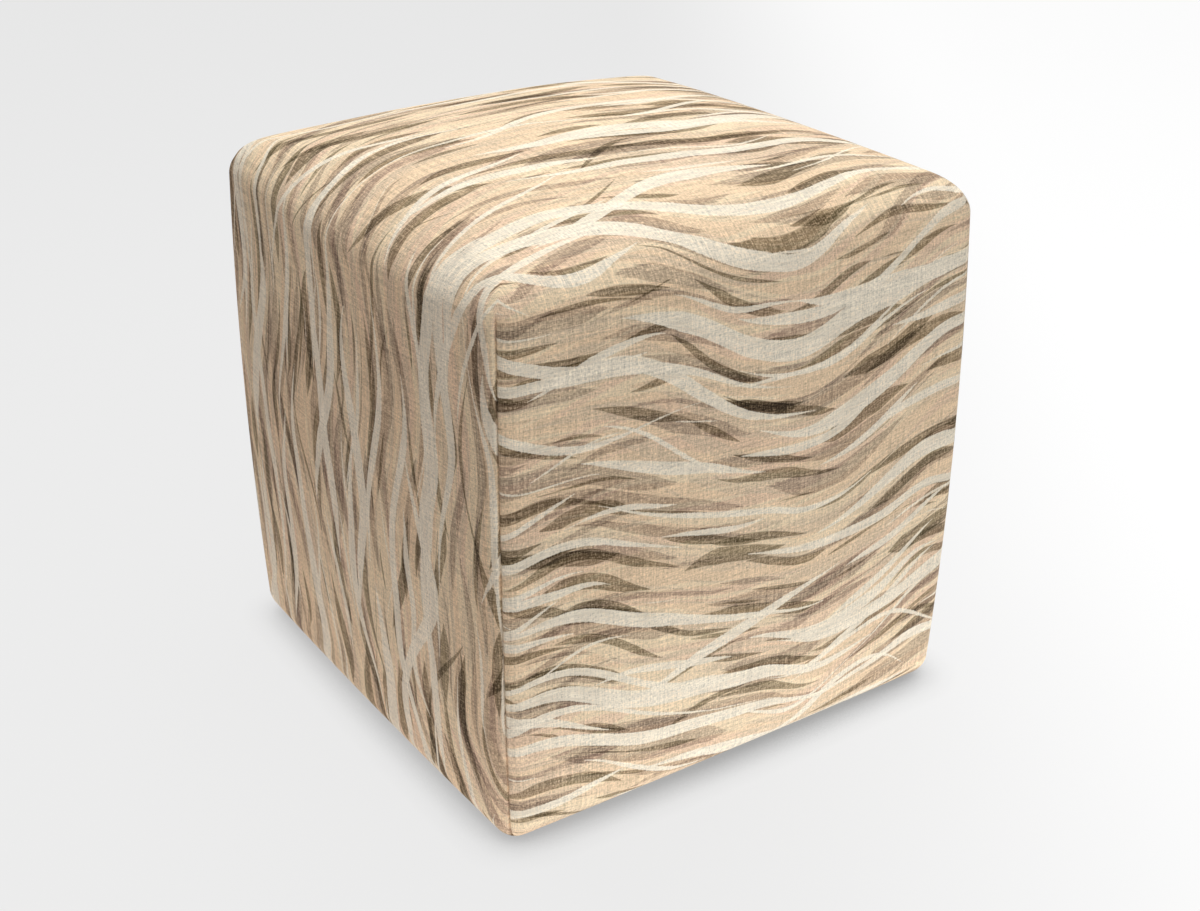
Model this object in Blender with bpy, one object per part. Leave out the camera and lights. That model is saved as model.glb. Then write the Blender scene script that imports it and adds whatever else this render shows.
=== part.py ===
"""Cube pouf stool: a one-piece printed cover, filled firm, closed below by a plain base panel.

Metres, +Z up. The origin is at the middle of the underside, on the floor, and -Y is the front.
"""
import math

import bpy
import bmesh

# Driving dimensions of the cover, metres
SEAM_HALF = 0.225          # middle of the pouf to the flat of a side, where the upright seams run
SHOULDER_HEIGHT = 0.461    # floor to the top of the shell at its four corners
TOP_ACROSS_CORNER = 0.025  # how far in the top edge's rounding reaches, beside a corner
TOP_ACROSS_MIDDLE = 0.075  # and halfway along the edge, where the cloth rolls over softly
TOP_DROP_CORNER = 0.025    # how far down the top edge's rounding reaches, beside a corner
TOP_DROP_MIDDLE = 0.040    # and halfway along the edge
BOTTOM_RADIUS = 0.023      # rounding of the bottom edge
SEAM_RADIUS = 0.018        # rounding of the upright edges, in plan

# How the filling swells the shell, metres
BELLY = 0.005              # all round at mid-height
SIDE_CROWN = 0.0062        # middle of a side against its seams
SIDE_CROWN_MIDDLE = 0.0015 # more of it at mid-height
TOP_EDGE_RISE = 0.0098     # middle of a top edge against its corners
TOP_CROWN = 0.018          # middle of the top against its edges

# The upright seams draw in a narrow channel that ends just below the top's corners
SEAM_DEPTH = 0.0012
SEAM_HALF_WIDTH = 0.0025
SEAM_END_BELOW = 0.008     # from the fold at the corner down to the seam's end
SEAM_FADE = 0.014          # length over which the channel runs out

# The base panel, sewn into a shallow recess in the underside
PANEL_INSET = 0.030        # from the flat of a side to the recess
PANEL_THICKNESS = 0.0025
PANEL_CORNER = 0.012
PANEL_EDGE_BEVEL = 0.0006
CLEARANCE = 0.0003

# The grid that the cover is shaped from
GRID_STEPS = 20            # squares along each side of the cube's grid
CROWDING = 1.45            # each row is this much wider than its neighbour nearer the fold

HALF_STEPS = GRID_STEPS // 2
HALF_TURN = math.radians(45)
BEND = 1 - math.cos(HALF_TURN)
REACH = math.cos(HALF_TURN)
FLAT_TOLERANCE = 1e-6

CLOTH_COLOUR = (0.62, 0.49, 0.36, 1.0)
BASE_COLOUR = (0.36, 0.31, 0.25, 1.0)


def clear_scene():
    for item in list(bpy.data.objects):
        bpy.data.objects.remove(item)


def new_collection(name):
    collection = bpy.data.collections.new(name)
    bpy.context.scene.collection.children.link(collection)
    return collection


def new_material(name, colour, roughness):
    material = bpy.data.materials.new(name)
    material.use_nodes = True
    shader = material.node_tree.nodes["Principled BSDF"]
    shader.inputs["Base Color"].default_value = colour
    shader.inputs["Roughness"].default_value = roughness
    shader.inputs["Metallic"].default_value = 0.0
    material.diffuse_color = colour
    return material


def add_object(name, bm, collection, material=None):
    mesh = bpy.data.meshes.new(name)
    bm.to_mesh(mesh)
    bm.free()
    item = bpy.data.objects.new(name, mesh)
    collection.objects.link(item)
    if material:
        mesh.materials.append(material)
    return item


def crowded(step):
    """Place, -1 to 1, of a grid line: the lines crowd towards the folds at both ends."""
    lines_from_fold = HALF_STEPS - abs(step)
    inward = (CROWDING ** lines_from_fold - 1) / (CROWDING ** HALF_STEPS - 1)
    return math.copysign(1 - inward, step)


def rolled(turn, across, drop):
    """Inset and fall of a point on a quarter-ellipse edge, from upright at 0 to level at 90 degrees."""
    return across * (1 - math.cos(turn)), drop * (1 - math.sin(turn))


def side_profile(down, across, drop):
    """Inset and height of a point on a side, down = 0 at the top fold and 1 at the bottom fold."""
    top_roll = math.hypot(BEND * across, REACH * drop)
    bottom_roll = math.hypot(BEND, REACH) * BOTTOM_RADIUS
    upright = SHOULDER_HEIGHT - drop - BOTTOM_RADIUS
    travel = down * (top_roll + upright + bottom_roll)
    if travel < top_roll:
        inset, fall = rolled(HALF_TURN * (1 - travel / top_roll), across, drop)
        return inset, SHOULDER_HEIGHT - fall
    travel -= top_roll + upright
    if travel > 0:
        return rolled(HALF_TURN * travel / bottom_roll, BOTTOM_RADIUS, BOTTOM_RADIUS)
    return 0.0, BOTTOM_RADIUS - travel


def level_profile(inward, across, drop):
    """Inset and fall of a point on the top or the underside, inward = 0 at the fold and 1 at the middle."""
    roll = math.hypot(REACH * across, BEND * drop)
    travel = inward * (roll + SEAM_HALF - across)
    if travel < roll:
        return rolled(HALF_TURN * (1 + travel / roll), across, drop)
    return across + travel - roll, 0.0


def plan_point(half, along, radius):
    """A point on a square with rounded corners: its place along the side, and its reach outwards."""
    arc = radius * HALF_TURN
    travel = along * (half - radius + arc)
    if travel <= half - radius:
        return travel, half
    turn = (travel - (half - radius)) / radius
    return half - radius + radius * math.sin(turn), half - radius + radius * math.cos(turn)


def seam_channel(along, down):
    """How far the upright seam draws the cloth in, at a place on a side."""
    from_seam = (1 - along) * SEAM_HALF
    below_end = down * SHOULDER_HEIGHT - SEAM_END_BELOW
    closeness = max(0.0, 1 - from_seam / SEAM_HALF_WIDTH)
    return SEAM_DEPTH * closeness * min(1.0, max(0.0, below_end / SEAM_FADE))


def swollen(x, y, z):
    """The same point once the filling has crowned the faces and left the seams drawn in."""
    rise = z / SHOULDER_HEIGHT
    middle_height = 1 - (2 * rise - 1) ** 2
    middle_x = max(0.0, 1 - (x / SEAM_HALF) ** 2)
    middle_y = max(0.0, 1 - (y / SEAM_HALF) ** 2)
    side_crown = SIDE_CROWN + SIDE_CROWN_MIDDLE * middle_height
    x_out = x / SEAM_HALF * (BELLY * middle_height + side_crown * middle_y)
    y_out = y / SEAM_HALF * (BELLY * middle_height + side_crown * middle_x)
    z_up = rise * (TOP_EDGE_RISE * (middle_x + middle_y) + TOP_CROWN * middle_x * middle_y)
    return x + x_out, y + y_out, z + z_up


def cover_point(x_step, y_step, z_step):
    """Where a crossing of the cube's grid lies on the soft cover."""
    x, y, z = crowded(x_step), crowded(y_step), crowded(z_step)
    ring = max(abs(x), abs(y))
    along = min(abs(x), abs(y)) / ring if ring else 0.0
    softness = 1 - along ** 2
    across = TOP_ACROSS_CORNER + (TOP_ACROSS_MIDDLE - TOP_ACROSS_CORNER) * softness
    drop = TOP_DROP_CORNER + (TOP_DROP_MIDDLE - TOP_DROP_CORNER) * softness
    channel = 0.0
    if max(abs(x_step), abs(y_step)) == HALF_STEPS:
        down = (1 - z) / 2
        inset, height = side_profile(down, across, drop)
        channel = seam_channel(along, down)
    elif z > 0:
        inset, fall = level_profile(1 - ring, across, drop)
        height = SHOULDER_HEIGHT - fall
    else:
        inset, height = level_profile(1 - ring, BOTTOM_RADIUS, BOTTOM_RADIUS)
    corner = SEAM_RADIUS * ring if z > 0 else SEAM_RADIUS * max(0.0, 1 - inset / BOTTOM_RADIUS)
    sideways, outwards = plan_point(SEAM_HALF - inset, along, corner)
    sideways -= channel
    outwards -= channel
    if abs(x) > abs(y):
        x, y = math.copysign(outwards, x), math.copysign(sideways, y)
    else:
        x, y = math.copysign(sideways, x), math.copysign(outwards, y)
    return swollen(x, y, height)


def merge_flat_underside(bm):
    """The level part of the underside needs no grid: its squares become one face."""
    level = [face for face in bm.faces if all(abs(vert.co.z) < FLAT_TOLERANCE for vert in face.verts)]
    bmesh.ops.dissolve_faces(bm, faces=level, use_verts=True)


def build_cover(collection, material):
    """The one-piece cover over its filling: top and four sides cut as a cross, one solid."""
    bm = bmesh.new()
    bmesh.ops.create_cube(bm, size=GRID_STEPS)
    bmesh.ops.subdivide_edges(bm, edges=bm.edges, cuts=GRID_STEPS - 1, use_grid_fill=True)
    for vert in bm.verts:
        vert.co = cover_point(*(round(value) for value in vert.co))
    merge_flat_underside(bm)
    bmesh.ops.recalc_face_normals(bm, faces=bm.faces)
    cover = add_object("cover", bm, collection, material)
    cover.data.shade_smooth()
    return cover


def rounded_slab(half, thickness, corner, edge_bevel):
    """A square slab with rounded corners, its underside at z = 0."""
    bm = bmesh.new()
    bmesh.ops.create_cube(bm, size=1.0)
    bmesh.ops.scale(bm, vec=(2 * half, 2 * half, thickness), verts=bm.verts)
    bmesh.ops.translate(bm, vec=(0, 0, thickness / 2), verts=bm.verts)
    upright = [edge for edge in bm.edges if abs(edge.verts[0].co.z - edge.verts[1].co.z) > thickness / 2]
    bmesh.ops.bevel(bm, geom=upright, offset=corner, segments=6, profile=0.5, affect="EDGES")
    if edge_bevel:
        rim = [edge for edge in bm.edges if abs(edge.verts[0].co.z - edge.verts[1].co.z) < FLAT_TOLERANCE]
        bmesh.ops.bevel(bm, geom=rim, offset=edge_bevel, segments=2, profile=0.5, affect="EDGES")
    return bm


def build_base_panel(collection, material):
    """The plain square of cloth that closes the cover from below and lies on the floor."""
    half = SEAM_HALF - PANEL_INSET
    bm = rounded_slab(half, PANEL_THICKNESS, PANEL_CORNER, PANEL_EDGE_BEVEL)
    return add_object("base_panel", bm, collection, material)


def cut_panel_recess(cover, cutters):
    """The underside steps up around the base panel, with a running gap on every side."""
    half = SEAM_HALF - PANEL_INSET + CLEARANCE
    depth = PANEL_THICKNESS + CLEARANCE
    bm = rounded_slab(half, 2 * depth, PANEL_CORNER + CLEARANCE, 0.0)
    cutter = add_object("panel_recess", bm, cutters)
    cutter.location.z = -depth
    cutter.hide_render = True
    cutter.display_type = "WIRE"
    recess = cover.modifiers.new("panel recess", "BOOLEAN")
    recess.operation = "DIFFERENCE"
    recess.object = cutter


def main():
    clear_scene()
    parts = new_collection("cube_pouf_stool")
    cutters = new_collection("cutters")
    printed_cloth = new_material("printed_cloth", CLOTH_COLOUR, 0.9)
    base_cloth = new_material("base_cloth", BASE_COLOUR, 0.95)
    cover = build_cover(parts, printed_cloth)
    cut_panel_recess(cover, cutters)
    build_base_panel(parts, base_cloth)


main()
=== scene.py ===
# %% [markdown]
# # A cube pouf in printed linen
#
# The object is a firm, filled cube to sit on. Its cover is one cross-shaped cut of
# printed cloth: the top, with four sides folded down from it. Only the four upright
# corners are sewn, so the print runs on without a break over the top edges, and it
# stands upright on two of the sides. Below, a plain square of cloth closes it.
#
# The solids of the part are already packed. This script loads them as a fixed frame
# and gives each of its two pieces the look of the real thing: the cloth's soft shape,
# its seams, its weave and its print. Everything is in metres, with +Z up.

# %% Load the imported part
import math

import bmesh
import bpy
import numpy as np
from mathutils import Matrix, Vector, noise
from mathutils.bvhtree import BVHTree
from mathutils.interpolate import poly_3d_calc


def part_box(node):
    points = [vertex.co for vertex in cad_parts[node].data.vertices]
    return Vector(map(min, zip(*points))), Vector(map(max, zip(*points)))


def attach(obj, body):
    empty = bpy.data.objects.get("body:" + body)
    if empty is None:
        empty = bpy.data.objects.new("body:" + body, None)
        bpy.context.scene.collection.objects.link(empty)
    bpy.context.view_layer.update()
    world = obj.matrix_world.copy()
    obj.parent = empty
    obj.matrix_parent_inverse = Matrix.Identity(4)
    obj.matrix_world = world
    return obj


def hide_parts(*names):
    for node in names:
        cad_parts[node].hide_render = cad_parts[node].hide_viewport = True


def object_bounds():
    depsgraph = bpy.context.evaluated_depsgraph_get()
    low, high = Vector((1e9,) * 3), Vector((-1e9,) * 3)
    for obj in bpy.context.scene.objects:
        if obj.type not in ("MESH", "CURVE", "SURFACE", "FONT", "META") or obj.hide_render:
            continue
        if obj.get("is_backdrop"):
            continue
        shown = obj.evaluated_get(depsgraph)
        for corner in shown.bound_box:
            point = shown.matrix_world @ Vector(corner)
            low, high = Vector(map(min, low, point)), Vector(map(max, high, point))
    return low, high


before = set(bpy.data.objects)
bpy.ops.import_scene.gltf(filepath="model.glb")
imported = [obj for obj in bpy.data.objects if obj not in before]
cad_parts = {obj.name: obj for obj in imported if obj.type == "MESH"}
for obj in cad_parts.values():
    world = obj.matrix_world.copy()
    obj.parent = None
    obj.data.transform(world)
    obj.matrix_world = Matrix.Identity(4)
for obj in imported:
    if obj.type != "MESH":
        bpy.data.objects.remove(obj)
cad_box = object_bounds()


def rounded(values):
    """A row of numbers, rounded for printing."""
    return [round(float(value), 4) for value in values]


def in_mm(length):
    """A length in millimetres, rounded for printing."""
    return round(1000 * float(length), 2)


cover_low, cover_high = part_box("cover")
panel_low, panel_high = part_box("base_panel")
print("cover from", rounded(cover_low), "to", rounded(cover_high))
print("base panel from", rounded(panel_low), "to", rounded(panel_high))

# %% [markdown]
# ## The camera
#
# The photo looks down at one corner of the cube, so that a dark side, a lit side and
# the bright top show at once. Such a view is given by a point to look at, the angle
# round the object, the angle above the floor and the distance. The camera is placed on
# that line, and turned back towards the point it looks at.

# %% Camera at the photo's angle
VIEW_AZIMUTH = math.radians(34.03)
VIEW_ELEVATION = math.radians(26.03)
VIEW_DISTANCE = 1.4418
VIEW_TARGET = Vector((-0.0352, -0.0715, 0.2305))
LENS = 51.44
SENSOR_WIDTH = 36.0


def direction(azimuth, elevation):
    """The way from the object to a camera; azimuth 0 is in front, and it grows to the left."""
    level = math.cos(elevation)
    return Vector((-math.sin(azimuth) * level, -math.cos(azimuth) * level, math.sin(elevation)))


def aimed(item, place, target):
    """Puts a camera or a light at a place, looking at the target."""
    item.location = place
    item.rotation_euler = (target - place).to_track_quat("-Z", "Y").to_euler()
    bpy.context.scene.collection.objects.link(item)
    return item


camera_data = bpy.data.cameras.new("camera")
camera_data.lens = LENS
camera_data.sensor_width = SENSOR_WIDTH
camera = bpy.data.objects.new("camera", camera_data)
aimed(camera, VIEW_TARGET + VIEW_DISTANCE * direction(VIEW_AZIMUTH, VIEW_ELEVATION), VIEW_TARGET)
bpy.context.scene.camera = camera
print("camera at", rounded(camera.location))

# %% [markdown]
# ## Helpers for materials
#
# Shader nodes are easy to read when each is made in one call that names its inputs.
# The first helper adds one node: an input takes a number, a colour or the output of
# another node. Three more are short for what comes up most: a sum, a soft passage
# from one value to another, and one colour laid over another. The last helper starts
# a material that holds nothing but its shader.

# %% Node and material helpers
WHITE = (1.0, 1.0, 1.0)
MIX_UNDER = 6
MIX_OVER = 7
MIX_RESULT = 2


def node_of(tree, kind, sockets=None, **settings):
    """Adds a node; each socket takes a number, a colour, or another node's output."""
    node = tree.nodes.new(kind)
    for name, value in settings.items():
        setattr(node, name, value)
    for name, value in (sockets or {}).items():
        if isinstance(value, bpy.types.NodeSocket):
            tree.links.new(value, node.inputs[name])
        else:
            node.inputs[name].default_value = value
    return node


def maths(tree, operation, first, second=0.0, third=0.0):
    """One sum with up to three inputs."""
    sockets = {0: first, 1: second, 2: third}
    return node_of(tree, "ShaderNodeMath", sockets, operation=operation).outputs[0]


def faded(tree, value, start, end, start_value, end_value):
    """A soft passage from one value to another as the input goes from start to end."""
    sockets = {
        "Value": value,
        "From Min": start,
        "From Max": end,
        "To Min": start_value,
        "To Max": end_value,
    }
    passage = node_of(tree, "ShaderNodeMapRange", sockets, interpolation_type="SMOOTHSTEP")
    return passage.outputs["Result"]


def opaque(colour):
    """Three numbers as a full colour; another node's output stays as it is."""
    return colour if isinstance(colour, bpy.types.NodeSocket) else (*colour, 1.0)


def mixed(tree, amount, under, over, blending="MIX"):
    """One colour laid over another; each is three numbers or another node's output."""
    sockets = {"Factor": amount, MIX_UNDER: opaque(under), MIX_OVER: opaque(over)}
    mix = node_of(tree, "ShaderNodeMix", sockets, data_type="RGBA", blend_type=blending)
    return mix.outputs[MIX_RESULT]


def new_material(name, numbers):
    """A material with one Principled shader on its output, and the shader's own numbers."""
    material = bpy.data.materials.new(name)
    material.use_nodes = True
    tree = material.node_tree
    tree.nodes.clear()
    output = tree.nodes.new("ShaderNodeOutputMaterial")
    shader = node_of(tree, "ShaderNodeBsdfPrincipled", numbers)
    tree.links.new(shader.outputs["BSDF"], output.inputs["Surface"])
    return material, tree, shader


# %% [markdown]
# ## The floor
#
# A catalogue photo often stands its object on a light table: a pale floor that glows
# by itself, so there is no wide shadow, and the lower part of the object is lit from
# below. Here the floor gives out light too, a little more of it towards one side.
#
# A floor that glows would show no shadow at all, and the pouf would seem to hang in
# the air. So the glow is dimmed where something stands close above it, which leaves
# a narrow contact shadow. The sides get some more light from below, from a patch round
# the foot of the pouf, which is weaker and a little rosy on the dark side. That patch
# is left out for the camera's own rays.
#
# Most values below are pairs: one for the dark side and one for the bright side, or
# the two ends of a soft passage.

# %% Floor that glows, with a narrow contact shadow
FLOOR_SIZE = 14.0
FLOOR_FINISH = {"Base Color": (0.05, 0.05, 0.05, 1.0), "Roughness": 0.9, "Specular IOR Level": 0.1}
BRIGHT_WAY = -direction(VIEW_AZIMUTH + math.radians(90), 0.0)
GLOW = (0.79, 0.96)
GLOW_TURNS_AT = (0.03, 0.72)
CONTACT_REACH = 0.036
CONTACT_SAMPLES = 4
CONTACT_OPENNESS = (0.10, 0.92)
CONTACT_SHADE = (0.42, 0.60)
CONTACT_TURNS_AT = (-0.25, 0.25)
FOOT_GLOW = (0.52, 1.50)
FOOT_GLOW_TURNS_AT = (-0.25, 0.05)
FOOT_GLOW_REACH = (0.33, 0.68)
FOOT_GLOW_TINT = (1.0, 0.93, 0.90)
FOOT_OPENNESS = (0.40, 1.00)

floor_mesh = bmesh.new()
bmesh.ops.create_grid(floor_mesh, x_segments=1, y_segments=1, size=FLOOR_SIZE / 2)
floor_data = bpy.data.meshes.new("floor")
floor_mesh.to_mesh(floor_data)
floor_mesh.free()
floor = bpy.data.objects.new("floor", floor_data)
bpy.context.scene.collection.objects.link(floor)
floor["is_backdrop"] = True

floor_material, tree, shader = new_material("pale_floor", FLOOR_FINISH)
floor_data.materials.append(floor_material)

place = node_of(tree, "ShaderNodeNewGeometry").outputs["Position"]
along_way = node_of(tree, "ShaderNodeVectorMath", {0: place, 1: BRIGHT_WAY}, operation="DOT_PRODUCT")
towards_bright = along_way.outputs["Value"]
from_middle = node_of(tree, "ShaderNodeVectorMath", {0: place}, operation="LENGTH").outputs["Value"]
nearby = node_of(tree, "ShaderNodeAmbientOcclusion", {"Distance": CONTACT_REACH}, samples=CONTACT_SAMPLES)
openness = nearby.outputs["AO"]
camera_ray = node_of(tree, "ShaderNodeLightPath").outputs["Is Camera Ray"]
unseen = maths(tree, "SUBTRACT", 1.0, camera_ray)

glow = faded(tree, towards_bright, *GLOW_TURNS_AT, *GLOW)
covered = faded(tree, openness, *CONTACT_OPENNESS, 1.0, 0.0)
shade = maths(tree, "MULTIPLY", faded(tree, towards_bright, *CONTACT_TURNS_AT, *CONTACT_SHADE), covered)
seen_glow = maths(tree, "MULTIPLY", glow, maths(tree, "SUBTRACT", 1.0, shade))

near_foot = faded(tree, from_middle, *FOOT_GLOW_REACH, 1.0, 0.0)
foot_glow = faded(tree, towards_bright, *FOOT_GLOW_TURNS_AT, *FOOT_GLOW)
unseen_glow = maths(tree, "MULTIPLY", maths(tree, "MULTIPLY", near_foot, foot_glow), unseen)
open_foot = faded(tree, openness, *FOOT_OPENNESS, 0.0, 1.0)
strength = maths(tree, "MULTIPLY_ADD", unseen_glow, open_foot, seen_glow)
tree.links.new(strength, shader.inputs["Emission Strength"])

warmth = maths(tree, "MULTIPLY", faded(tree, towards_bright, *FOOT_GLOW_TURNS_AT, 1.0, 0.0), unseen)
tree.links.new(mixed(tree, warmth, WHITE, FOOT_GLOW_TINT), shader.inputs["Emission Color"])
print("floor", FLOOR_SIZE, "m, brighter towards", rounded(BRIGHT_WAY))

# %% [markdown]
# ## The lights
#
# One broad soft light hangs above, a little to the back, and makes the top the
# brightest face. Two weaker ones stand in front and to the right, so that the side to
# the left stays darkest. None of them shows in the picture, whatever the view.
#
# Past the floor stands a pale backdrop. It is seen from a low angle, but it lights the
# pouf only faintly, so that the lights alone shape it. Colours are shown as they are,
# without a film curve, because cream cloth on white should come out clean and light.

# %% Lights and world
WORLD_STRENGTH = 0.06
BACKDROP_STRENGTH = 0.86
SOFT_LIGHTS = {
    # name: (place, size, power)
    "overhead_light": ((0.0, 0.38, 2.2), 1.6, 41.7),
    "front_light": ((0.0, -1.4, 1.9), 1.4, 15.3),
    "right_light": ((2.4, -0.35, 1.5), 1.4, 11.5),
}


def soft_light(name, place, size, power):
    """A square soft light that looks at the middle of the pouf."""
    data = bpy.data.lights.new(name, "AREA")
    data.shape = "SQUARE"
    data.size = size
    data.energy = power
    light = bpy.data.objects.new(name, data)
    light.visible_camera = False
    return aimed(light, Vector(place), Vector((0, 0, cover_high.z / 2)))


for name, (place, size, power) in SOFT_LIGHTS.items():
    soft_light(name, place, size, power)

world = bpy.data.worlds.new("studio")
world.use_nodes = True
background = world.node_tree.nodes["Background"]
background.inputs["Color"].default_value = opaque(WHITE)
seen = node_of(world.node_tree, "ShaderNodeLightPath").outputs["Is Camera Ray"]
backdrop = maths(world.node_tree, "MULTIPLY_ADD", seen, BACKDROP_STRENGTH - WORLD_STRENGTH, WORLD_STRENGTH)
world.node_tree.links.new(backdrop, background.inputs["Strength"])
bpy.context.scene.world = world
bpy.context.scene.view_settings.view_transform = "Standard"
print("lights", list(SOFT_LIGHTS))

# %% [markdown]
# ## The shape of the cover
#
# A filled cube is not a box with rounded edges. Its sides belly out, the upright seams
# hold it in, and the cloth rolls over the top edge in a wide soft curve that tightens
# towards each corner. It could be sculpted by hand, or inflated from a box.
#
# Here each crossing of a net on a cube is moved to its place by a rule. The rule
# travels along the cloth: down a side from the fold at the top edge, or inwards from
# it over the top. So the same numbers that place a point also say where it lies on
# the flat cloth, and the print can be laid on without any stretch to speak of.
#
# The rule makes the cube a little too slack in the middle of each face. A simulation
# under pressure fills that in afterwards, so the last bit of swelling is the cloth's.

# %% Sizes of the soft cube
SEAM_HALF = 0.225
SHOULDER_HEIGHT = 0.461
TOP_ACROSS = (0.025, 0.075)
TOP_DROP = (0.025, 0.040)
BOTTOM_ROLL = (0.023, 0.029)
SEAM_RADIUS = 0.018
BELLY = 0.005
SIDE_CROWN = 0.0062
SIDE_CROWN_MIDDLE = 0.0015
TOP_EDGE_RISE = 0.0088
TOP_CROWN = 0.0200
SIDE_SLACK = 0.0032
TOP_SLACK = 0.0007

HALF_TURN = math.radians(45)
BEND = 1 - math.cos(HALF_TURN)
REACH = math.cos(HALF_TURN)
print("seam to seam, and crown to floor", rounded((2 * SEAM_HALF, cover_high.z)))

# %% The rule that shapes it
FACE_TOLERANCE = 1e-6


def rolled(turn, across, drop):
    """Inset and fall of a point on a rolled edge, upright at 0 and level at 90 degrees."""
    return across * (1 - math.cos(turn)), drop * (1 - math.sin(turn))


def edge_rolls(along):
    """How far the top edge rolls in and down, and the bottom edge's radius; a corner is at 1."""
    softness = 1 - along ** 2
    return [corner + (middle - corner) * softness for corner, middle in (TOP_ACROSS, TOP_DROP, BOTTOM_ROLL)]


def side_lengths(across, drop, bottom):
    """Cloth in the top rounding, the upright stretch and the bottom rounding of a side."""
    top_roll = math.hypot(BEND * across, REACH * drop)
    bottom_roll = math.hypot(BEND, REACH) * bottom
    return top_roll, SHOULDER_HEIGHT - drop - bottom, bottom_roll


def level_lengths(across, drop):
    """Cloth in the rounding and in the level stretch of the top, from the fold to the middle."""
    return math.hypot(REACH * across, BEND * drop), SEAM_HALF - across


def side_profile(down, across, drop, bottom):
    """Inset and height on a side, down = 0 at the top fold and 1 at the bottom fold."""
    top_roll, upright, bottom_roll = side_lengths(across, drop, bottom)
    travel = down * (top_roll + upright + bottom_roll)
    if travel < top_roll:
        inset, fall = rolled(HALF_TURN * (1 - travel / top_roll), across, drop)
        return inset, SHOULDER_HEIGHT - fall
    travel -= top_roll + upright
    if travel > 0:
        return rolled(HALF_TURN * travel / bottom_roll, bottom, bottom)
    return 0.0, bottom - travel


def level_profile(inward, across, drop):
    """Inset and fall on the top or the underside, inward = 0 at the fold and 1 in the middle."""
    roll, level = level_lengths(across, drop)
    travel = inward * (roll + level)
    if travel < roll:
        return rolled(HALF_TURN * (1 + travel / roll), across, drop)
    return across + travel - roll, 0.0


def plan_point(half, along, radius):
    """Place along a side and reach outwards, on a square with rounded corners."""
    arc = radius * HALF_TURN
    travel = along * (half - radius + arc)
    if not radius or travel <= half - radius:
        return travel, half
    turn = (travel - (half - radius)) / radius
    return half - radius + radius * math.sin(turn), half - radius + radius * math.cos(turn)


def swollen(x, y, z):
    """The same point once the filling has crowned the faces and the seams hold in."""
    rise = z / SHOULDER_HEIGHT
    middle_height = 1 - (2 * rise - 1) ** 2
    middle_x = max(0.0, 1 - (x / SEAM_HALF) ** 2)
    middle_y = max(0.0, 1 - (y / SEAM_HALF) ** 2)
    side_crown = SIDE_CROWN + (SIDE_CROWN_MIDDLE - SIDE_SLACK) * middle_height
    x_out = x / SEAM_HALF * (BELLY * middle_height + side_crown * middle_y)
    y_out = y / SEAM_HALF * (BELLY * middle_height + side_crown * middle_x)
    top_crown = TOP_EDGE_RISE * (middle_x + middle_y) + (TOP_CROWN - TOP_SLACK) * middle_x * middle_y
    return Vector((x + x_out, y + y_out, z + rise * top_crown))


def ring_of(x, y):
    """The square ring that a point of the cube lies on, and its place along a side of it."""
    ring = max(abs(x), abs(y))
    return ring, min(abs(x), abs(y)) / ring if ring else 0.0


def laid(x, y, outwards, sideways):
    """Outwards and sideways as x and y, for a point that faces the way x and y say."""
    if abs(x) > abs(y):
        return math.copysign(outwards, x), math.copysign(sideways, y)
    return math.copysign(sideways, x), math.copysign(outwards, y)


def soft_cube_point(x, y, z):
    """Where a point of a cube of half-size 1 lies on the soft cube."""
    ring, along = ring_of(x, y)
    across, drop, bottom = edge_rolls(along)
    if ring > 1 - FACE_TOLERANCE:
        inset, height = side_profile((1 - z) / 2, across, drop, bottom)
    elif z > 0:
        inset, fall = level_profile(1 - ring, across, drop)
        height = SHOULDER_HEIGHT - fall
    else:
        inset, height = level_profile(1 - ring, bottom, bottom)
    corner = SEAM_RADIUS * ring if z > 0 else SEAM_RADIUS * max(0.0, 1 - inset / bottom)
    sideways, outwards = plan_point(SEAM_HALF - inset, along, corner)
    return swollen(*laid(x, y, outwards, sideways), height)


# %% [markdown]
# ## The cloth as a net
#
# The mesh starts as a cube cut into squares. The rows crowd towards the folds and the
# seams, where the form turns quickly. Each point remembers its place on the cube, as
# three numbers from -1 to 1, so that later steps know how near it is to a seam.
#
# Each face also remembers its place on the flat cross of cloth, in metres: the top
# lies in the middle of that map and the sides hang off it. Where two sides meet at a
# sewn corner the map is cut, as the cloth is.
#
# A second map serves programs that can't read shader nodes and need the finish painted
# into a picture. It lays the six sides as tiles, three across and two up, with a small
# gap between them, so that no two spots of the cover share a place in the picture.

# %% Net of the cover, with its place on the flat cloth
NET_STEPS = 120
NET_CROWDING = 1.6
CLOTH_MAP = "Cloth"
PICTURE_MAP = "OFBake"
TILE_COLUMNS = 3
TILE_ROWS = 2
TILE_GAP = 0.008
CUBE_PLACE = "cube_place"


def crowded(step, steps, crowding):
    """Place, -1 to 1, of a net line; the lines crowd towards the folds at both ends."""
    lines_in = 1 - abs(step) / (steps / 2)
    return math.copysign(1 - lines_in ** crowding, step)


def cube_side(normal):
    """The side of the cube that a face belongs to, as an axis and a direction."""
    axis = max(range(3), key=lambda index: abs(normal[index]))
    return axis, 1 if normal[axis] > 0 else -1


def smooth_step(value):
    """A soft passage from 0 to 1, for one number or a whole array."""
    value = np.clip(value, 0.0, 1.0)
    return value * value * (3 - 2 * value)


def top_place(x, y):
    """Where a point of the top lies on the flat cloth: straight threads stay straight there."""
    ring, along = ring_of(x, y)
    across, drop, _ = edge_rolls(along)
    roll, level = level_lengths(across, drop)
    inset, _ = level_profile(1 - ring, across, drop)
    half = SEAM_HALF - inset
    sideways, outwards = plan_point(half, along, SEAM_RADIUS * ring)
    off_fold = 1 - smooth_step(1 - (1 - ring) * (roll + level) / roll)
    square = ring * (roll + level)
    outwards = square + off_fold * (outwards - half)
    sideways = along * square + off_fold * (sideways - along * half)
    return laid(x, y, outwards, sideways)


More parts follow.
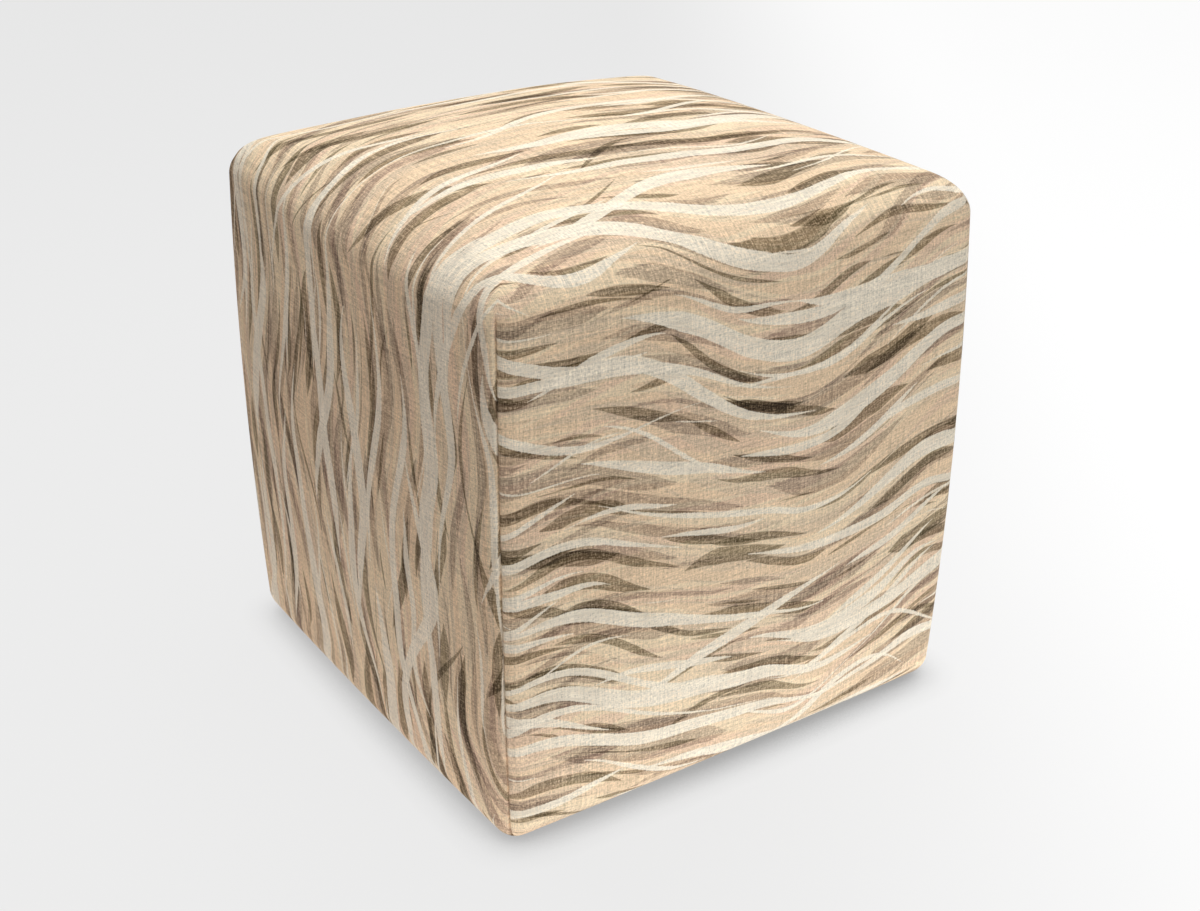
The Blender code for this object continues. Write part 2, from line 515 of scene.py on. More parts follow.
def flat_place(cube_point, side, towards):
    """Where a point lies on the flat cross of cloth, in metres."""
    x, y, z = cube_point
    axis, sign = side
    if axis == 2 and sign > 0:
        return top_place(x, y)
    ring, along = ring_of(x, y)
    across, drop, bottom = edge_rolls(along)
    fold = sum(level_lengths(across, drop))
    inset, _ = side_profile((1 - z) / 2, across, drop, bottom)
    outwards = fold + (1 - z) / 2 * sum(side_lengths(across, drop, bottom)) + (1 - ring) * SEAM_HALF
    sideways = along * ring * (fold + BEND * across - inset)
    if axis == 2:
        axis, sign = towards
    if axis == 0:
        return sign * outwards, math.copysign(sideways, y)
    return math.copysign(sideways, x), sign * outwards


def underside_side(centre):
    """The side that a face of the underside is turned in from."""
    axis = 0 if abs(centre[0]) > abs(centre[1]) else 1
    return axis, 1 if centre[axis] > 0 else -1


def tile_place(cube_point, side):
    """Where a point lies in the picture map: one tile to a side, seen from outside."""
    axis, sign = side
    sideways, up = (value for index, value in enumerate(cube_point) if index != axis)
    sideways *= -sign if axis == 1 else sign
    column, row = axis, (sign + 1) / 2
    sideways, up = ((value * (1 - TILE_GAP) + 1) / 2 for value in (sideways, up))
    return (column + sideways) / TILE_COLUMNS, (row + up) / TILE_ROWS


def cube_net(name, steps, crowding):
    """A cube of squares shaped by the rule, each with its place on the flat cloth."""
    bm = bmesh.new()
    bmesh.ops.create_cube(bm, size=steps)
    bmesh.ops.subdivide_edges(bm, edges=bm.edges, cuts=steps - 1, use_grid_fill=True)
    bm.normal_update()
    cube_place = bm.verts.layers.float_vector.new(CUBE_PLACE)
    cloth_map = bm.loops.layers.uv.new(CLOTH_MAP)
    picture_map = bm.loops.layers.uv.new(PICTURE_MAP)
    for vert in bm.verts:
        vert[cube_place] = [crowded(round(value), steps, crowding) for value in vert.co]
    for face in bm.faces:
        side = cube_side(face.normal)
        towards = underside_side(face.calc_center_median())
        for loop in face.loops:
            loop[cloth_map].uv = flat_place(loop.vert[cube_place], side, towards)
            loop[picture_map].uv = tile_place(loop.vert[cube_place], side)
    for vert in bm.verts:
        vert.co = soft_cube_point(*vert[cube_place])
    mesh = bpy.data.meshes.new(name)
    bm.to_mesh(mesh)
    bm.free()
    piece = bpy.data.objects.new(name, mesh)
    bpy.context.scene.collection.objects.link(piece)
    return piece


def points_of(mesh):
    """All points of a mesh as rows of an array."""
    flat = np.empty(3 * len(mesh.vertices))
    mesh.vertices.foreach_get("co", flat)
    return flat.reshape(-1, 3)


def cube_places_of(mesh):
    """Each point's place on the cube, as rows of an array."""
    flat = np.empty(3 * len(mesh.vertices))
    mesh.attributes[CUBE_PLACE].data.foreach_get("vector", flat)
    return flat.reshape(-1, 3)


cover = cube_net("printed_cover", NET_STEPS, NET_CROWDING)
print("cover net", len(cover.data.vertices), "points", len(cover.data.polygons), "squares")

# %% [markdown]
# ## Let the cloth settle
#
# Real cloth finds its own shape between the places that hold it. Blender's cloth
# simulation does that: a coarse net of the same cube is pushed from inside by a
# steady pressure, with no gravity, while its seams and folds are held. It runs for
# twenty frames.
#
# A coarse net is quick, and its movement is smooth. The movement is scaled to the
# small swelling that the rule left out, and carried over to the fine net: each fine
# point moves as the nearest spot of the coarse net did.

# %% Settle a coarse net under pressure
SETTLE_STEPS = 40
SETTLE_CROWDING = 1.2
SETTLE_FRAMES = 20
SETTLE_PRESSURE = 4.0
SETTLE_STIFFNESS = 15.0
SETTLE_BENDING = 0.5
SETTLE_MOST = 0.0035
HOLD_REACH = 0.30


def hold_of(cube_places):
    """How firmly each point is held: 1 on a seam, a fold or the underside, 0 well inside a face."""
    edge_nearness = np.sort(np.abs(cube_places), axis=1)[:, 1]
    held = smooth_step((edge_nearness - 1 + HOLD_REACH) / HOLD_REACH)
    return np.where(cube_places[:, 2] < FACE_TOLERANCE - 1, 1.0, held)


def tree_of(mesh):
    """The faces of a mesh, ready to look up which spot of them is nearest to a point."""
    return BVHTree.FromPolygons(points_of(mesh).tolist(), [list(face.vertices) for face in mesh.polygons])


def settle(net):
    """Runs the cloth simulation on a net and returns where its points end."""
    group = net.vertex_groups.new(name="held")
    for index, weight in enumerate(hold_of(cube_places_of(net.data))):
        group.add([index], float(weight), "REPLACE")
    cloth = net.modifiers.new("settle", "CLOTH")
    settings = cloth.settings
    settings.use_pressure = True
    settings.uniform_pressure_force = SETTLE_PRESSURE
    settings.effector_weights.gravity = 0.0
    settings.tension_stiffness = SETTLE_STIFFNESS
    settings.compression_stiffness = SETTLE_STIFFNESS
    settings.bending_stiffness = SETTLE_BENDING
    settings.vertex_group_mass = group.name
    cloth.point_cache.frame_end = SETTLE_FRAMES
    for frame_number in range(1, SETTLE_FRAMES + 1):
        bpy.context.scene.frame_set(frame_number)
    evaluated = net.evaluated_get(bpy.context.evaluated_depsgraph_get())
    settled = points_of(evaluated.data)
    bpy.context.scene.frame_set(1)
    return settled


coarse = cube_net("settling_net", SETTLE_STEPS, SETTLE_CROWDING)
rest_points = points_of(coarse.data)
movement = settle(coarse) - rest_points
movement *= SETTLE_MOST / np.linalg.norm(movement, axis=1).max()
coarse_tree = tree_of(coarse.data)
for vert in cover.data.vertices:
    spot, _, square, _ = coarse_tree.find_nearest(vert.co)
    corners = list(coarse.data.polygons[square].vertices)
    shares = poly_3d_calc([Vector(rest_points[corner]) for corner in corners], spot)
    vert.co += Vector(np.array(shares) @ movement[corners])
print("settled: middle of a side moved", in_mm(np.abs(movement).max()), "mm at most")
bpy.data.objects.remove(coarse)

# %% [markdown]
# ## Seams, softness and the recess below
#
# Each upright corner is a plain seam: two raw edges turned inside, so only a fine
# groove shows, with the cloth drawn in a little on both sides of it. One of the two
# edges is pressed over the other and stands a hair proud. The seam ends as a dart,
# just below the top's corner, in a small dimple.
#
# A filled face is never perfectly even, so a slow, shallow unevenness is added to it.
# Underneath, the cloth steps up to make room for the base panel. All three are small
# moves of the net's points, worked out from each point's place on the cube.

# %% Draw in the seams
SEAM_END_BELOW = 0.008
SEAM_FADE = 0.012
DRAW_DEPTH = 0.0008
DRAW_REACH = 0.007
GROOVE_DEPTH = 0.0022
GROOVE_HALF = 0.0011
RIDGE_HEIGHT = 0.0005
RIDGE_PLACE = 0.0026
RIDGE_REACH = 0.0016
DIMPLE_DEPTH = 0.0010
DIMPLE_REACH = 0.006

points = points_of(cover.data)
places = cube_places_of(cover.data)
reach = np.abs(places)
on_side = reach[:, :2].max(axis=1) > 1 - FACE_TOLERANCE
from_seam = (1 - reach[:, :2].min(axis=1)) * SEAM_HALF
below_end = (1 - places[:, 2]) / 2 * SHOULDER_HEIGHT - SEAM_END_BELOW
sewn = np.where(on_side, smooth_step(below_end / SEAM_FADE), 0.0)
drawn = DRAW_DEPTH * smooth_step(1 - from_seam / DRAW_REACH)
groove = GROOVE_DEPTH * np.clip(1 - from_seam / GROOVE_HALF, 0.0, 1.0)
over_edge = reach[:, 0] > 1 - FACE_TOLERANCE
ridge = RIDGE_HEIGHT * smooth_step(1 - np.abs(from_seam - RIDGE_PLACE) / RIDGE_REACH) * over_edge
to_end = np.hypot(from_seam, below_end)
dimple = DIMPLE_DEPTH * smooth_step(1 - to_end / DIMPLE_REACH) * on_side
inwards = -np.sign(places[:, :2]) / math.sqrt(2)
points[:, :2] += inwards * (sewn * (drawn + groove - ridge) + dimple)[:, None]
print("points in a seam's groove:", int(((groove > 0) & (sewn > 0)).sum()))

# %% A slow unevenness over the faces
UNEVEN_DEPTH = 0.0006
UNEVEN_SIZE = 0.085
UNEVEN_SHIFT = Vector((3.1, 7.4, 1.9))

normals = np.empty(points.size)
cover.data.vertices.foreach_get("normal", normals)
unevenness = np.array([noise.noise(Vector(point) / UNEVEN_SIZE + UNEVEN_SHIFT) for point in points])
free = 1 - hold_of(places)
points += normals.reshape(-1, 3) * (UNEVEN_DEPTH * unevenness * free)[:, None]
print("unevenness", in_mm(UNEVEN_DEPTH * np.abs(unevenness * free).max()), "mm at most")

# %% Step up around the base panel
RECESS_SLOPE = 0.003
RECESS_CORNER = 0.012
RECESS_GAP = 0.0004

beneath = places[:, 2] < FACE_TOLERANCE - 1
edge = panel_high.x + RECESS_GAP - RECESS_CORNER
outside = np.maximum(np.abs(points[:, :2]) - edge, 0.0)
from_rim = np.hypot(outside[:, 0], outside[:, 1]) - RECESS_CORNER
recess = (panel_high.z + RECESS_GAP) * smooth_step(1 - from_rim / RECESS_SLOPE)
points[:, 2] += np.where(beneath, recess, 0.0)
cover.data.vertices.foreach_set("co", points.ravel())
cover.data.shade_smooth()
cover.data.update()
print("recess", in_mm(recess.max()), "mm deep")

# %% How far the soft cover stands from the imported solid
solid_tree = tree_of(bpy.data.objects["cover"].data)
gaps = np.array([solid_tree.find_nearest(point)[3] for point in points[~beneath].tolist()])
print("cover to its solid: mean", in_mm(gaps.mean()), "mm, most", in_mm(gaps.max()), "mm")

# %% [markdown]
# ## The base panel
#
# A plain square of cloth closes the pouf from below. Nobody looks at it, so it is a
# simple firm sheet with rounded corners and a soft rim, and one sewn line that holds
# it all round. A square block with beveled corners and edges is enough. The sewn line
# is a shallow groove: the underside face is inset three times, first level, then going
# in a little, then coming back out.

# %% Base panel with its sewn line
PANEL_CORNER = 0.012
PANEL_CORNER_STEPS = 10
PANEL_RIM = 0.0011
PANEL_RIM_STEPS = 4
SEWN_LINE_INSET = 0.006
SEWN_LINE_HALF = 0.0008
SEWN_LINE_DEPTH = 0.0005
ROUND_PROFILE = 0.5
SHARP_ANGLE = math.radians(40)


def climb_of(edge):
    """How much an edge climbs from one end to the other."""
    return abs(edge.verts[0].co.z - edge.verts[1].co.z)


def round_off(bm, edges, width, steps):
    """Rounds a set of edges."""
    bmesh.ops.bevel(bm, geom=edges, offset=width, segments=steps, profile=ROUND_PROFILE, affect="EDGES")


def base_sheet(name):
    """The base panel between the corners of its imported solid."""
    size = panel_high - panel_low
    bm = bmesh.new()
    bmesh.ops.create_cube(bm, size=1.0)
    bmesh.ops.scale(bm, vec=size, verts=bm.verts)
    bmesh.ops.translate(bm, vec=(panel_low + panel_high) / 2, verts=bm.verts)
    upright = [edge for edge in bm.edges if climb_of(edge) > size.z / 2]
    round_off(bm, upright, PANEL_CORNER, PANEL_CORNER_STEPS)
    rim = [edge for edge in bm.edges if climb_of(edge) < size.z / 2]
    round_off(bm, rim, PANEL_RIM, PANEL_RIM_STEPS)
    bm.normal_update()
    underside = max(bm.faces, key=lambda face: -face.normal.z * face.calc_area())
    sewn_rings = (
        # how wide, how deep
        (SEWN_LINE_INSET, 0.0),
        (SEWN_LINE_HALF, -SEWN_LINE_DEPTH),
        (SEWN_LINE_HALF, SEWN_LINE_DEPTH),
    )
    for width, depth in sewn_rings:
        bmesh.ops.inset_region(bm, faces=[underside], thickness=width, depth=depth, use_even_offset=True)
    mesh = bpy.data.meshes.new(name)
    bm.to_mesh(mesh)
    bm.free()
    piece = bpy.data.objects.new(name, mesh)
    bpy.context.scene.collection.objects.link(piece)
    return piece


base_panel = base_sheet("base_sheet")
base_panel.data.shade_smooth()
base_panel.data.set_sharp_from_angle(angle=SHARP_ANGLE)
print("base panel", len(base_panel.data.polygons), "faces")

# %% [markdown]
# ## Building blocks for the cloth's pattern
#
# The print is a field of long brush strokes that flow in waves: wide pale ribbons,
# mauve washes and dark olive strokes that taper at both ends. An image could hold it,
# but nodes can make it at any size, with no picture at all.
#
# Two node groups do the work. The first bends a straight line into a slow wave, so
# that everything drawn along that line flows. The second draws strokes: the cloth is
# cut into rows along the flow, each row holds one line of paint, and a slow noise
# makes that line swell and run out again. Where the noise is low there is no stroke.
# It is built in three cells: the rows, the paint that runs along them, and its edge.

# %% Helpers for node groups
NOISE_MEAN = 0.5


def group_of(name, numbers, outputs):
    """A new shader node group; returns it, what comes in, and what goes out."""
    group = bpy.data.node_groups.new(name, "ShaderNodeTree")
    for label, value in numbers.items():
        socket = group.interface.new_socket(label, in_out="INPUT", socket_type="NodeSocketFloat")
        socket.default_value = value
    for label in outputs:
        group.interface.new_socket(label, in_out="OUTPUT", socket_type="NodeSocketFloat")
    given = group.nodes.new("NodeGroupInput").outputs
    made = group.nodes.new("NodeGroupOutput").inputs
    return group, given, made


def slow_noise(tree, along, across, seed, detail=0.0):
    """Smooth noise around zero that takes its own two coordinates, one unit to a lump."""
    place = node_of(tree, "ShaderNodeCombineXYZ", {"X": along, "Y": across, "Z": seed}).outputs["Vector"]
    lumps = node_of(tree, "ShaderNodeTexNoise", {"Vector": place, "Scale": 1.0, "Detail": detail})
    return maths(tree, "SUBTRACT", lumps.outputs["Fac"], NOISE_MEAN)


def stretched_noise(tree, along, across, length, width, seed, detail=0.0):
    """Smooth noise around zero, in lumps of a given length and width."""
    along = maths(tree, "DIVIDE", along, length)
    across = maths(tree, "DIVIDE", across, width)
    return slow_noise(tree, along, across, seed, detail)


def placed_group(tree, group, numbers):
    """One use of a node group, with its own numbers."""
    return node_of(tree, "ShaderNodeGroup", numbers, node_tree=group).outputs


# %% Node group: waves
WAVE_DETAIL = 0.6
SWING_GAIN = 2.0

waves, given, made = group_of(
    "waves",
    {
        "Along": 0.0,
        "Across": 0.0,
        "Wave Length": 0.2,
        "Wave Height": 0.04,
        "Spread": 1.2,
        "Slope": 0.0,
        "Seed": 0.0,
    },
    ["Across"],
)
along, across, length = given["Along"], given["Across"], given["Wave Length"]
width = maths(waves, "MULTIPLY", length, given["Spread"])
swing = stretched_noise(waves, along, across, length, width, given["Seed"], WAVE_DETAIL)
full_swing = maths(waves, "MULTIPLY", given["Wave Height"], SWING_GAIN)
bent = maths(waves, "MULTIPLY_ADD", swing, full_swing, across)
waves.links.new(maths(waves, "MULTIPLY_ADD", along, given["Slope"], bent), made["Across"])
print("node group", waves.name, "has", len(waves.nodes), "nodes")

# %% Node group: strokes, the rows and what each leaves to chance
HALF_ROW = 0.5
SEEDS_APART = 31.0
ROWS_APART = 7.3
FARTHEST_START = 50.0

strokes, given, made = group_of(
    "strokes",
    {
        "Along": 0.0,
        "Across": 0.0,
        "Row Height": 0.02,
        "Stroke Length": 0.1,
        "Stroke Width": 0.01,
        "Threshold": 0.0,
        "Edge": 0.0,
        "Seed": 0.0,
    },
    ["Mask"],
)
rows_up = maths(strokes, "DIVIDE", given["Across"], given["Row Height"])
row_place = maths(strokes, "ADD", rows_up, given["Seed"])
row = maths(strokes, "FLOOR", row_place)
within = maths(strokes, "SUBTRACT", maths(strokes, "SUBTRACT", row_place, row), HALF_ROW)
draw = maths(strokes, "MULTIPLY_ADD", given["Seed"], SEEDS_APART, row)
chance = node_of(strokes, "ShaderNodeTexWhiteNoise", {"W": draw}, noise_dimensions="1D").outputs["Color"]
chances = node_of(strokes, "ShaderNodeSeparateColor", {"Color": chance}).outputs
lengthwise = maths(strokes, "DIVIDE", given["Along"], given["Stroke Length"])
apart = maths(strokes, "MULTIPLY", row, ROWS_APART)
print("node group", strokes.name, "has rows", ROWS_APART, "noise lumps apart")

# %% Node group: strokes, where the paint swells and runs out
STROKE_SWELL = 7.5
DIPS_APART = 3.4
DIP_DEPTH = 0.09
DIP_NOISE = 0.65
LEAST_FULLNESS = 0.02

travelled = maths(strokes, "MULTIPLY_ADD", chances["Red"], FARTHEST_START, lengthwise)
paint_run = maths(strokes, "MULTIPLY", slow_noise(strokes, travelled, apart, given["Seed"]), DIP_NOISE)
dips = maths(strokes, "SINE", maths(strokes, "MULTIPLY", travelled, DIPS_APART))
paint_run = maths(strokes, "MULTIPLY_ADD", dips, DIP_DEPTH, paint_run)
above = maths(strokes, "SUBTRACT", paint_run, given["Threshold"])
fullness = maths(strokes, "MULTIPLY", above, STROKE_SWELL)
fullness = node_of(strokes, "ShaderNodeClamp", {"Value": fullness}).outputs["Result"]
painted = maths(strokes, "GREATER_THAN", fullness, LEAST_FULLNESS)
print("node group", strokes.name, "shows paint from a fullness of", LEAST_FULLNESS)

# %% Node group: strokes, their width and edge
LEAST_HALF_WIDTH = 0.35
CHANCE_HALF_WIDTH = 0.3
DRIFT_SHARE = 1.3
DRIFT_SEED = 5.0
EDGE_SOFTNESS = 0.0004

width_share = maths(strokes, "MULTIPLY_ADD", chances["Green"], CHANCE_HALF_WIDTH, LEAST_HALF_WIDTH)
half_width = maths(strokes, "MULTIPLY", given["Stroke Width"], width_share)
half_width = maths(strokes, "MULTIPLY", half_width, fullness)
room = maths(strokes, "SUBTRACT", given["Row Height"], given["Stroke Width"])
wandered = maths(strokes, "MULTIPLY_ADD", chances["Blue"], FARTHEST_START, lengthwise)
drift = slow_noise(strokes, wandered, apart, DRIFT_SEED)
centre = maths(strokes, "MULTIPLY", drift, maths(strokes, "MULTIPLY", room, DRIFT_SHARE))
from_centre = maths(strokes, "SUBTRACT", maths(strokes, "MULTIPLY", within, given["Row Height"]), centre)
inside = maths(strokes, "SUBTRACT", half_width, maths(strokes, "ABSOLUTE", from_centre))
inside = maths(strokes, "ADD", inside, given["Edge"])
mask = faded(strokes, inside, -EDGE_SOFTNESS, EDGE_SOFTNESS, 0.0, 1.0)
strokes.links.new(maths(strokes, "MULTIPLY", mask, painted), made["Mask"])
print("node group", strokes.name, "has", len(strokes.nodes), "nodes")

# %% [markdown]
# ## The linen
#
# Linen is a plain weave of uneven threads. From a step away one sees no single thread,
# only a fine grain of short dashes both ways, where a thread is thicker or paler than
# its neighbours, and here and there a longer streak. Close up the threads stand out as
# a small grid. One node group gives the grain as a tone and the grid as a height, so
# that the printed cloth and the plain cloth below share it.
#
# Noise that is stretched one way makes the dashes. The grid is two sine waves that
# take turns, as threads do when they go over and under.

# %% Node group: weave
DASH_LENGTH = 5.0
SLUB_WIDTH = 2.5
SLUB_LENGTH = 55.0
GRID_HEIGHT = 0.3

weave, given, made = group_of(
    "weave",
    {"Along": 0.0, "Across": 0.0, "Thread": 0.0006, "Slubs": 0.7, "Seed": 0.0},
    ["Tone", "Height"],
)
along = maths(weave, "DIVIDE", given["Along"], given["Thread"])
across = maths(weave, "DIVIDE", given["Across"], given["Thread"])
tones = []
for first, second in ((along, across), (across, along)):
    dashes = slow_noise(weave, first, maths(weave, "DIVIDE", second, DASH_LENGTH), given["Seed"])
    slubs = stretched_noise(weave, first, second, SLUB_WIDTH, SLUB_LENGTH, given["Seed"])
    tones.append(maths(weave, "MULTIPLY_ADD", slubs, given["Slubs"], dashes))
tone = maths(weave, "ADD", *tones)
weave.links.new(tone, made["Tone"])
over = maths(weave, "SINE", maths(weave, "MULTIPLY", along, math.pi))
under = maths(weave, "SINE", maths(weave, "MULTIPLY", across, math.pi))
grid = maths(weave, "MULTIPLY", over, under)
weave.links.new(maths(weave, "MULTIPLY_ADD", grid, GRID_HEIGHT, tone), made["Height"])
print("node group", weave.name, "has", len(weave.nodes), "nodes")

# %% [markdown]
# ## The print
#
# The pattern is painted from the ground up, as a designer would with a wide brush. On
# a peach ground lie soft sand and mauve washes. Dark olive strokes are multiplied in,
# so they deepen where they cross. Pale cream ribbons go on last and cut through the
# dark strokes, which gives the print its sharp, broken shapes.
#
# Each layer flows along one of a few waves that differ a little, so strokes run side
# by side in one place and cross in another. The layers stand in a table, one row to a
# layer, and a loop paints them.
#
# Ink never covers linen evenly. It misses the threads that lie low, and it is thinner
# where the brush ran dry. So the amount of every coat follows the grain of the weave
# and a slow mottle, and the same grain breaks up the edge of each stroke.

# %% Waves that the strokes follow
PRINT_FINISH = {"Roughness": 0.88, "Sheen Weight": 0.02, "Specular IOR Level": 0.12}

cover_material, tree, shader = new_material("printed_cloth", PRINT_FINISH)
cloth = node_of(tree, "ShaderNodeUVMap", uv_map=CLOTH_MAP).outputs["UV"]
cloth_place = node_of(tree, "ShaderNodeSeparateXYZ", {"Vector": cloth}).outputs
WAVES = {
    # name: (starts from, wave length, wave height, spread, slope, seed)
    "swell": ("cloth", 0.25, 0.070, 1.8, 0.00, 12.4),
    "main": ("swell", 0.11, 0.015, 1.3, 0.00, 1.7),
    "beside": ("swell", 0.13, 0.030, 1.5, 0.05, 4.3),
    "rising": ("swell", 0.15, 0.034, 1.5, -0.18, 2.9),
    "crossing": ("cloth", 0.21, 0.085, 1.6, 0.06, 23.0),
}
flows = {"cloth": cloth_place["Y"]}
for name, (start, wave_length, wave_height, spread, slope, seed) in WAVES.items():
    numbers = {
        "Along": cloth_place["X"],
        "Across": flows[start],
        "Wave Length": wave_length,
        "Wave Height": wave_height,
        "Spread": spread,
        "Slope": slope,
        "Seed": seed,
    }
    flows[name] = placed_group(tree, waves, numbers)["Across"]
print("waves", list(flows))

# %% Grain and mottle of the ink
LINEN_SEED = 3.0
EDGE_GRAIN = 0.0006
HAIR_SHAPE = (0.030, 0.0012)
HAIR_SEED = 8.0
MOTTLE_SHAPE = (0.028, 0.009)
MOTTLE_SEED = 6.0
MOTTLE_DETAIL = 2.0
INK_GRAIN = 0.60
INK_MOTTLE = 0.45
INK_STREAKS = 0.55

numbers = {"Along": cloth_place["X"], "Across": cloth_place["Y"], "Seed": LINEN_SEED}
linen = placed_group(tree, weave, numbers)
grained_edge = maths(tree, "MULTIPLY", linen["Tone"], EDGE_GRAIN)
along, across = cloth_place["X"], flows["main"]
hairs = stretched_noise(tree, along, across, *HAIR_SHAPE, HAIR_SEED)
mottle = stretched_noise(tree, along, across, *MOTTLE_SHAPE, MOTTLE_SEED, MOTTLE_DETAIL)
missed = maths(tree, "MULTIPLY", mottle, INK_MOTTLE)
missed = maths(tree, "MULTIPLY_ADD", linen["Tone"], -INK_GRAIN, missed)
missed = maths(tree, "MULTIPLY_ADD", hairs, INK_STREAKS, missed)
print("ink follows the grain by", INK_GRAIN, "and the mottle by", INK_MOTTLE)

# %% Layers of paint
PEACH = (0.73, 0.555, 0.375)
ROSY = (0.69, 0.50, 0.36)
STRAW = (0.76, 0.62, 0.43)
SAND = (0.60, 0.475, 0.34)
MAUVE = (0.58, 0.55, 0.55)
OLIVE = (0.37, 0.35, 0.295)
CREAM = (0.795, 0.718, 0.585)

PAINT_LAYERS = (
    # wave, row height, length, width, threshold, ragged, seed, colour, strength, blending
    ("main", 0.030, 0.28, 0.024, -0.08, 0.004, 1.3, STRAW, 0.75, "MIX"),
    ("rising", 0.026, 0.24, 0.019, -0.03, 0.004, 3.1, ROSY, 0.65, "MIX"),
    ("beside", 0.022, 0.20, 0.013, 0.00, 0.003, 5.7, SAND, 0.55, "MIX"),
    ("rising", 0.012, 0.15, 0.005, 0.00, 0.001, 2.9, STRAW, 0.80, "MIX"),
    ("main", 0.010, 0.13, 0.004, 0.01, 0.001, 7.9, SAND, 0.70, "MIX"),
    ("main", 0.022, 0.14, 0.014, -0.01, 0.003, 7.1, MAUVE, 0.80, "MULTIPLY"),
    ("rising", 0.026, 0.13, 0.012, 0.00, 0.003, 8.9, MAUVE, 0.80, "MULTIPLY"),
    ("main", 0.024, 0.100, 0.011, 0.01, 0.001, 54.65, OLIVE, 0.88, "MULTIPLY"),
    ("beside", 0.027, 0.095, 0.011, 0.02, 0.001, 57.45, OLIVE, 0.88, "MULTIPLY"),
    ("crossing", 0.038, 0.110, 0.012, 0.04, 0.001, 58.55, OLIVE, 0.88, "MULTIPLY"),
    ("main", 0.034, 0.30, 0.014, 0.01, 0.0008, 0.5, CREAM, 0.94, "MIX"),
    ("beside", 0.040, 0.24, 0.012, 0.02, 0.0008, 9.7, CREAM, 0.92, "MIX"),
    ("crossing", 0.046, 0.26, 0.011, 0.03, 0.0008, 3.7, CREAM, 0.92, "MIX"),
    ("rising", 0.030, 0.15, 0.007, 0.02, 0.0005, 4.7, CREAM, 0.88, "MIX"),
)

paint = PEACH
for wave, row_height, length, width, threshold, ragged, seed, colour, strength, blending in PAINT_LAYERS:
    numbers = {
        "Along": cloth_place["X"],
        "Across": flows[wave],
        "Row Height": row_height,
        "Stroke Length": length,
        "Stroke Width": width,
        "Threshold": threshold,
        "Edge": maths(tree, "MULTIPLY_ADD", hairs, ragged, grained_edge),
        "Seed": seed,
    }
    mask = placed_group(tree, strokes, numbers)["Mask"]
    amount = maths(tree, "MULTIPLY", mask, maths(tree, "ADD", missed, strength))
    paint = mixed(tree, amount, paint, colour, blending)
print("layers of paint", len(PAINT_LAYERS))

# %% Grain and weave of the printed cloth
PRINT_GRAIN = 0.60
PRINT_MOTTLE = 0.12
PRINT_WEAVE_DEPTH = 0.0004
PRINT_BUMP = 0.5


def dress(tree, shader, colour, brightness, height, depth, bump=1.0):
    """Lays the grained colour and the raised weave on a cloth's shader."""
    grained = node_of(tree, "ShaderNodeVectorMath", {0: colour, "Scale": brightness}, operation="SCALE")
    raised = node_of(tree, "ShaderNodeBump", {"Height": height, "Distance": depth, "Strength": bump})
    tree.links.new(grained.outputs["Vector"], shader.inputs["Base Color"])
    tree.links.new(raised.outputs["Normal"], shader.inputs["Normal"])


brightness = maths(tree, "MULTIPLY_ADD", linen["Tone"], PRINT_GRAIN, 1.0)
brightness = maths(tree, "MULTIPLY_ADD", mottle, PRINT_MOTTLE, brightness)
dress(tree, shader, paint, brightness, linen["Height"], PRINT_WEAVE_DEPTH, PRINT_BUMP)
cover.data.materials.append(cover_material)
print("printed cloth has", len(tree.nodes), "nodes")

# %% [markdown]
# ## The plain cloth below
#
# The base panel is cut from plainer stuff: a coarser weave in one brown, with no
# print, because it only keeps the filling in and slides on the floor. It needs no map.
# A flat sheet can take its threads straight from its own x and y.
#
# The weave group serves here again, with a thicker thread. A slow noise lets the dye
# run from brown to a paler, rubbed tone, as on cloth that has slid about a little.

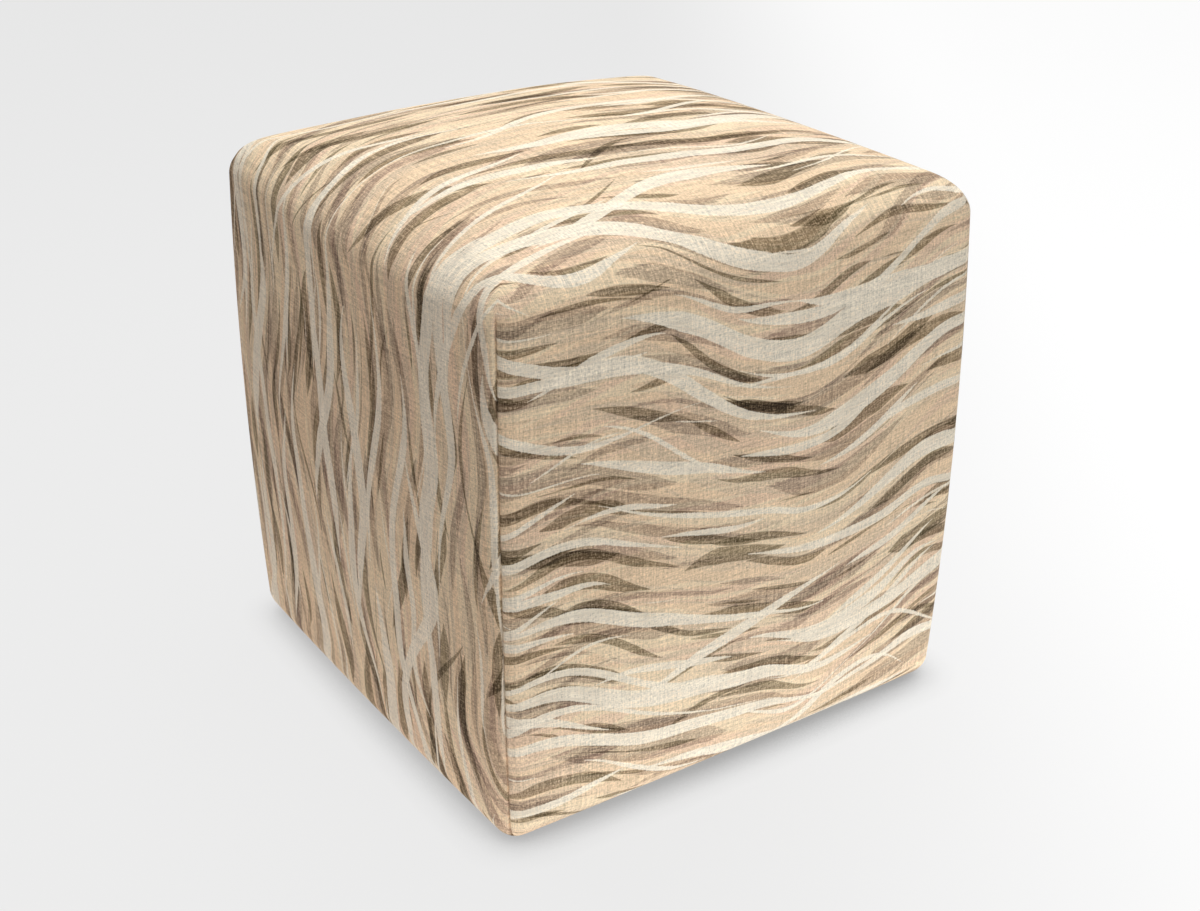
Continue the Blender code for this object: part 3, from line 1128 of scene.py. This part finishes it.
# %% Finish of the base cloth
BASE_BROWN = (0.25, 0.205, 0.155)
BASE_RUBBED = (0.40, 0.345, 0.275)
BASE_FINISH = {"Roughness": 0.92, "Sheen Weight": 0.08, "Specular IOR Level": 0.2}
BASE_THREAD = 0.0009
BASE_SEED = 9.0
PATCH_SHAPE = (0.07, 0.07)
PATCH_SEED = 2.0
PATCH_DETAIL = 3.0
PATCH_CONTRAST = 1.6
PATCH_MIDDLE = 0.5
BASE_GRAIN = 0.60
BASE_WEAVE_DEPTH = 0.0006

base_material, tree, shader = new_material("base_cloth", BASE_FINISH)
spot = node_of(tree, "ShaderNodeTexCoord").outputs["Object"]
spot = node_of(tree, "ShaderNodeSeparateXYZ", {"Vector": spot}).outputs
numbers = {"Along": spot["X"], "Across": spot["Y"], "Thread": BASE_THREAD, "Seed": BASE_SEED}
canvas = placed_group(tree, weave, numbers)
patches = stretched_noise(tree, spot["X"], spot["Y"], *PATCH_SHAPE, PATCH_SEED, PATCH_DETAIL)
rubbed = maths(tree, "MULTIPLY_ADD", patches, PATCH_CONTRAST, PATCH_MIDDLE)
dye = mixed(tree, rubbed, BASE_BROWN, BASE_RUBBED)
brightness = maths(tree, "MULTIPLY_ADD", canvas["Tone"], BASE_GRAIN, 1.0)
dress(tree, shader, dye, brightness, canvas["Height"], BASE_WEAVE_DEPTH)
base_panel.data.materials.append(base_material)
print("base cloth has", len(tree.nodes), "nodes")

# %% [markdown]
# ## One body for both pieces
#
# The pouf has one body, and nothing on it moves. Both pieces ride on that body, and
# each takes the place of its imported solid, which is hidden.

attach(cover, "root")
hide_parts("cover")

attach(base_panel, "root")
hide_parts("base_panel")

# %% [markdown]
# ## Sizes
#
# The soft pieces must fill the same room as the imported solids, or the part would no
# longer fit where it was measured to fit. Both boxes are printed, one after the other.

# %% Print the two boxes
soft_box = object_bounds()
boxes = {"cad": [list(corner) for corner in cad_box], "visual": [list(corner) for corner in soft_box]}
for name, (low, high) in boxes.items():
    print(name, "box from", rounded(low), "to", rounded(high))
